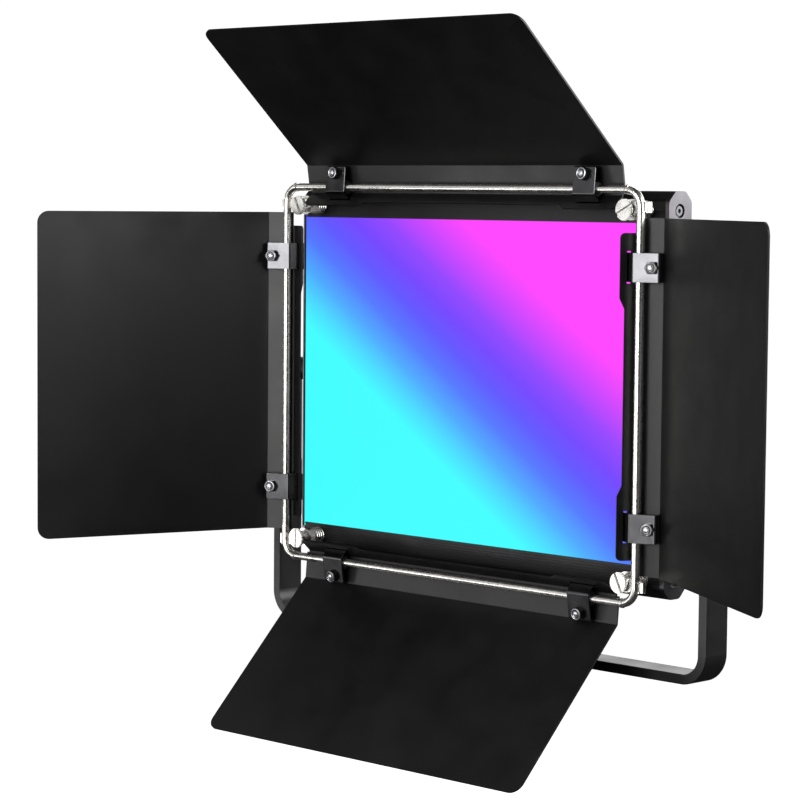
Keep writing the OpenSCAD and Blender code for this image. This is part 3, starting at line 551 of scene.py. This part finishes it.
# Seven-segment digits: the segments of each, and where each segment is and whether it stands
SEGMENTS = {"0": "abcdef", "1": "bc", "5": "acdfg", "6": "acdefg"}
SEGMENT_SPOTS = {"a": (0, 1, False), "b": (0.5, 0.5, True), "c": (0.5, -0.5, True), "d": (0, -1, False),
                 "e": (-0.5, -0.5, True), "f": (-0.5, 0.5, True), "g": (0, 0, False)}

# The display's layout, in mm from the pivot, seen from behind the light
READINGS = (("5600", 17.5), ("100", -8))
READING_Z, DIGIT_PITCH, DIGIT_SIZE = 44.5, 5.2, 3.2
SEGMENT_HALF_LENGTH, SEGMENT_HALF_WIDTH = 0.42 * DIGIT_SIZE, 0.09 * DIGIT_SIZE
BAR_COUNT, BAR_X, BAR_Z, BAR_PITCH, BAR_WIDTH = 12, 18, 31, 3.2, 2.2
BAR_LOW, BAR_RISE = 1.5, 0.35
GRAPHIC_THICKNESS = 0.12 * MM


def digit(shape, glyph, x, y):
    """One seven-segment digit on the display, read from behind the light."""
    long, thin = SEGMENT_HALF_LENGTH, SEGMENT_HALF_WIDTH
    lying = [(-long, 0), (-long + thin, thin), (long - thin, thin),
             (long, 0), (long - thin, -thin), (-long + thin, -thin)]
    for key in SEGMENTS[glyph]:
        u, v, stands = SEGMENT_SPOTS[key]
        outline = [(b, a) for a, b in lying] if stands else lying
        shape.slab([back_point(x - (u * DIGIT_SIZE + a), y, READING_Z + v * DIGIT_SIZE + b)
                    for a, b in outline], BACK, GRAPHIC_THICKNESS)


def display_graphics():
    """Two readings and a level bar, as a plain lit display shows them."""
    face = (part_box("display_window")[1].y - PIVOT.y) / MM
    shape = Shape()
    for glyphs, first_x in READINGS:
        for i, glyph in enumerate(glyphs):
            digit(shape, glyph, first_x - i * DIGIT_PITCH, face)
    for i in range(BAR_COUNT):
        x, high = BAR_X - i * BAR_PITCH, BAR_LOW + i * BAR_RISE
        corners = ((0, 0), (-BAR_WIDTH, 0), (-BAR_WIDTH, high), (0, high))
        shape.slab([back_point(x + a, face, BAR_Z + b) for a, b in corners], BACK, GRAPHIC_THICKNESS)
    shape.piece("display_graphics", "head", "display_glass", glow_material())


# Scale ticks round the dials, in degrees and mm: every fifth one is long and wide
DIAL_TICKS, DIAL_START, TICK_STEP = 21, -240, 15
TICK_NEAR, TICK_FAR, LONG_TICK_FAR = 10.6, 12.0, 13.0
TICK_HALF_WIDTH, LONG_TICK_HALF_WIDTH, TICK_EVERY = 0.16, 0.28, 5
TICK_THICKNESS = 0.08 * MM
DOT_RADIUS, DOT_PITCH, DOT_SIDES, DOT_THICKNESS = 0.65 * MM, 1.9 * MM, 16, 0.1 * MM


def dial_scales():
    """White scale ticks round both dials."""
    face = (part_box("control_panel")[1].y - PIVOT.y) / MM
    shape = Shape()
    for dial in ("brightness_dial_turn", "colour_dial_turn"):
        centre = (HINGE[dial] - PIVOT) / MM

        def on_panel(corner):
            return back_point(centre.x + corner.x, face, centre.z + corner.z)

        for k in range(DIAL_TICKS):
            a = math.radians(DIAL_START + k * TICK_STEP)
            out, across = Vector((math.cos(a), 0, math.sin(a))), Vector((-math.sin(a), 0, math.cos(a)))
            short = k % TICK_EVERY
            far = TICK_FAR if short else LONG_TICK_FAR
            half_width = TICK_HALF_WIDTH if short else LONG_TICK_HALF_WIDTH
            shape.slab(tick(on_panel, out, across, TICK_NEAR, far, half_width), BACK, TICK_THICKNESS)
    shape.piece("dial_scales", "head", "key_grey", PRINT_WHITE)


def key_dots():
    """One, two or three white dots on the keys, which move with them."""
    for index, button in enumerate(("mode_button", "channel_button", "effect_button")):
        low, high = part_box(button)
        middle = (low + high) / 2
        shape = Shape()
        for k in range(index + 1):
            x = middle.x + (k - index / 2) * DOT_PITCH
            shape.slab([Vector((x + DOT_RADIUS * math.cos(b), high.y, middle.z + DOT_RADIUS * math.sin(b)))
                        for b in circle(DOT_SIDES)], BACK, DOT_THICKNESS)
        shape.piece(button + "_dots", button, "key_grey", PRINT_WHITE)


# Each lobed knob: its node, its body, the way its face looks and its insert's radius in mm
KNOBS = (
    ("tilt_knob_left", "tilt_knob_left", LEFT, 6.6),
    ("tilt_knob_right", "tilt_knob_right", RIGHT, 6.6),
    ("socket_lock_knob", "socket_lock", BACK, 6.1),
)
INSERT_DEPTH = 2.0


def knob_inserts():
    """A domed insert in the face of each lobed knob."""
    for node, body, axis, radius in KNOBS:
        low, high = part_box(node)
        middle = (low + high) / 2
        face = high if sum(axis) > 0 else low
        origin = middle + axis * ((face - middle).dot(axis) - INSERT_DEPTH * MM)
        profile = [(0, radius), (0.8, radius), (1.1, radius - 0.3), (1.1, radius - 1.1),
                   (0.8, radius - 1.4), (0.8, radius - 2.2), (1.3, radius - 2.8),
                   (1.6, radius * 0.3), (1.65, 0.05)]
        shape = Shape()
        shape.lathe(origin, axis, profile, sides=48)
        shape.piece(node + "_insert", body, "screw_steel", SLOTS["screw_steel"])


# Angle ticks on the yoke arms, in degrees and mm: every third one is long
YOKE_TICKS, YOKE_START, YOKE_TICK_EVERY = 13, -180, 3
YOKE_TICK_NEAR, YOKE_TICK_FAR, YOKE_LONG_FAR, YOKE_TICK_HALF_WIDTH = 15.9, 18.0, 19.0, 0.25
YOKE_CLEAR = 0.45     # ticks whose cosine is larger would lie past the arm's edge
YOKE_TICK_THICKNESS = 0.12 * MM


def tilt_scales():
    """Raised angle ticks on each yoke arm, round the tilt pivot."""
    low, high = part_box("yoke")
    shape = Shape()
    for axis, x in ((LEFT, low.x), (RIGHT, high.x)):

        def on_arm(corner):
            return Vector((x, PIVOT.y + corner.y * MM, PIVOT.z + corner.z * MM))

        for k in range(YOKE_TICKS):
            a = math.radians(YOKE_START + k * TICK_STEP)
            if abs(math.cos(a)) > YOKE_CLEAR:
                continue
            out, across = Vector((0, math.cos(a), math.sin(a))), Vector((0, -math.sin(a), math.cos(a)))
            far = YOKE_TICK_FAR if k % YOKE_TICK_EVERY else YOKE_LONG_FAR
            corners = tick(on_arm, out, across, YOKE_TICK_NEAR, far, YOKE_TICK_HALF_WIDTH)
            shape.slab(corners, axis, YOKE_TICK_THICKNESS)
    shape.piece("tilt_scales", "stand", "key_grey", SCALE_GREY)


# Each leaf: the way it opens and the way its hinge runs, its opening and its blade's direction in
# the section in degrees, and the middle and half-spread of its two clamps in mm
LEAVES = {
    "left": (LEFT, UP, 72, 91.15, 0, 75.3),
    "right": (RIGHT, UP, 31, 91.15, 0, 75.3),
    "top": (UP, RIGHT, 47.9, 92.5, 3.8, 104.7),
    "bottom": (DOWN, RIGHT, 44.2, 92.5, 3.8, 104.7),
}
PLATE_DIR, BOLT_U, NUT_TOP = 40, 8.7, 6.62     # the clamp plate's direction, and the nut's place on it

# Heights and radii in mm of the painted highlight on the nut's rim, the painted shade ring inside it and the
# bolt's end, which takes the painted highlight too
NUT_HIGHLIGHT_RING = ((0.0, 2.75), (0.42, 2.8), (0.50, 3.0), (0.42, 3.25), (0.0, 3.5))
NUT_SHADE_RING = ((0.0, 2.05), (0.27, 2.05), (0.30, 2.4), (0.27, 2.74), (0.0, 2.74))
BOLT_END = ((0.3, 2.0), (0.55, 2.0), (0.7, 1.85), (0.62, 1.7), (0.8, 1.6), (1.0, 1.3), (1.12, 0.7),
            (1.15, 0.05))


def nut_painted_light():
    """A painted highlight on the chamfered face of each clamp nut and on the domed, threaded end of its bolt, with
    a painted shade ring in the gap between them.
    """
    for side, (out, along, opening, blade, shift, spread) in LEAVES.items():
        a = math.radians(opening - blade + PLATE_DIR)
        plate = out * math.cos(a) + FRONT * math.sin(a)
        normal = FRONT * math.cos(a) - out * math.sin(a)
        # The first shape is a painted highlight on each nut's rim and bolt end, the second a painted shade in the
        # gap between nut and bolt
        highlight_rings, shade_rings = Shape(), Shape()
        for s in (-1, 1):
            base = (HINGE[f"leaf_{side}_hinge"] + (plate * BOLT_U + normal * NUT_TOP) * MM
                    + along * (shift + s * spread) * MM)
            highlight_rings.lathe(base, normal, NUT_HIGHLIGHT_RING, sides=40)
            highlight_rings.lathe(base, normal, BOLT_END, sides=32)
            shade_rings.lathe(base, normal, NUT_SHADE_RING, sides=40)
        highlight_rings.piece(f"nut_painted_light_{side}", f"leaf_{side}", "clamp_black", NUT_HIGHLIGHT_PAINT)
        shade_rings.piece(f"nut_painted_shade_{side}", f"leaf_{side}", "bolt_black", NUT_SHADE_PAINT)


# The wire cloth behind the vents, in mm from the pivot
VENT_X, VENT_HALF_WIDTH, VENT_LOW, VENT_HIGH = 100, 42, 49.5, 78.5
CLOTH_UPRIGHTS, CLOTH_LEVELS, CLOTH_WIRE, CLOTH_DEPTH = 29, 11, 0.3, 2.35


def vent_mesh():
    """Fine wire cloth behind the slots of the rear cover."""
    y = (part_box("rear_cover")[1].y - PIVOT.y) / MM - CLOTH_DEPTH
    width, height = 2 * VENT_HALF_WIDTH, VENT_HIGH - VENT_LOW
    shape = Shape()
    for side in (-1, 1):
        start = side * VENT_X - VENT_HALF_WIDTH
        for k in range(CLOTH_UPRIGHTS):
            x = start + width * k / (CLOTH_UPRIGHTS - 1)
            shape.lathe(back_point(x, y, VENT_LOW), UP, ((0, CLOTH_WIRE), (height, CLOTH_WIRE)), sides=6)
        for k in range(CLOTH_LEVELS):
            z = VENT_LOW + height * k / (CLOTH_LEVELS - 1)
            shape.lathe(back_point(start, y - CLOTH_WIRE, z), RIGHT, ((0, CLOTH_WIRE), (width, CLOTH_WIRE)),
                        sides=6)
    shape.piece("vent_mesh", "head", "screw_steel", SLOTS["screw_steel"])


make_camera()
make_stage()
make_lights()
dress_nodes()
standoff_sleeves()
weld_beads()
display_graphics()
dial_scales()
key_dots()
knob_inserts()
tilt_scales()
nut_painted_light()
vent_mesh()
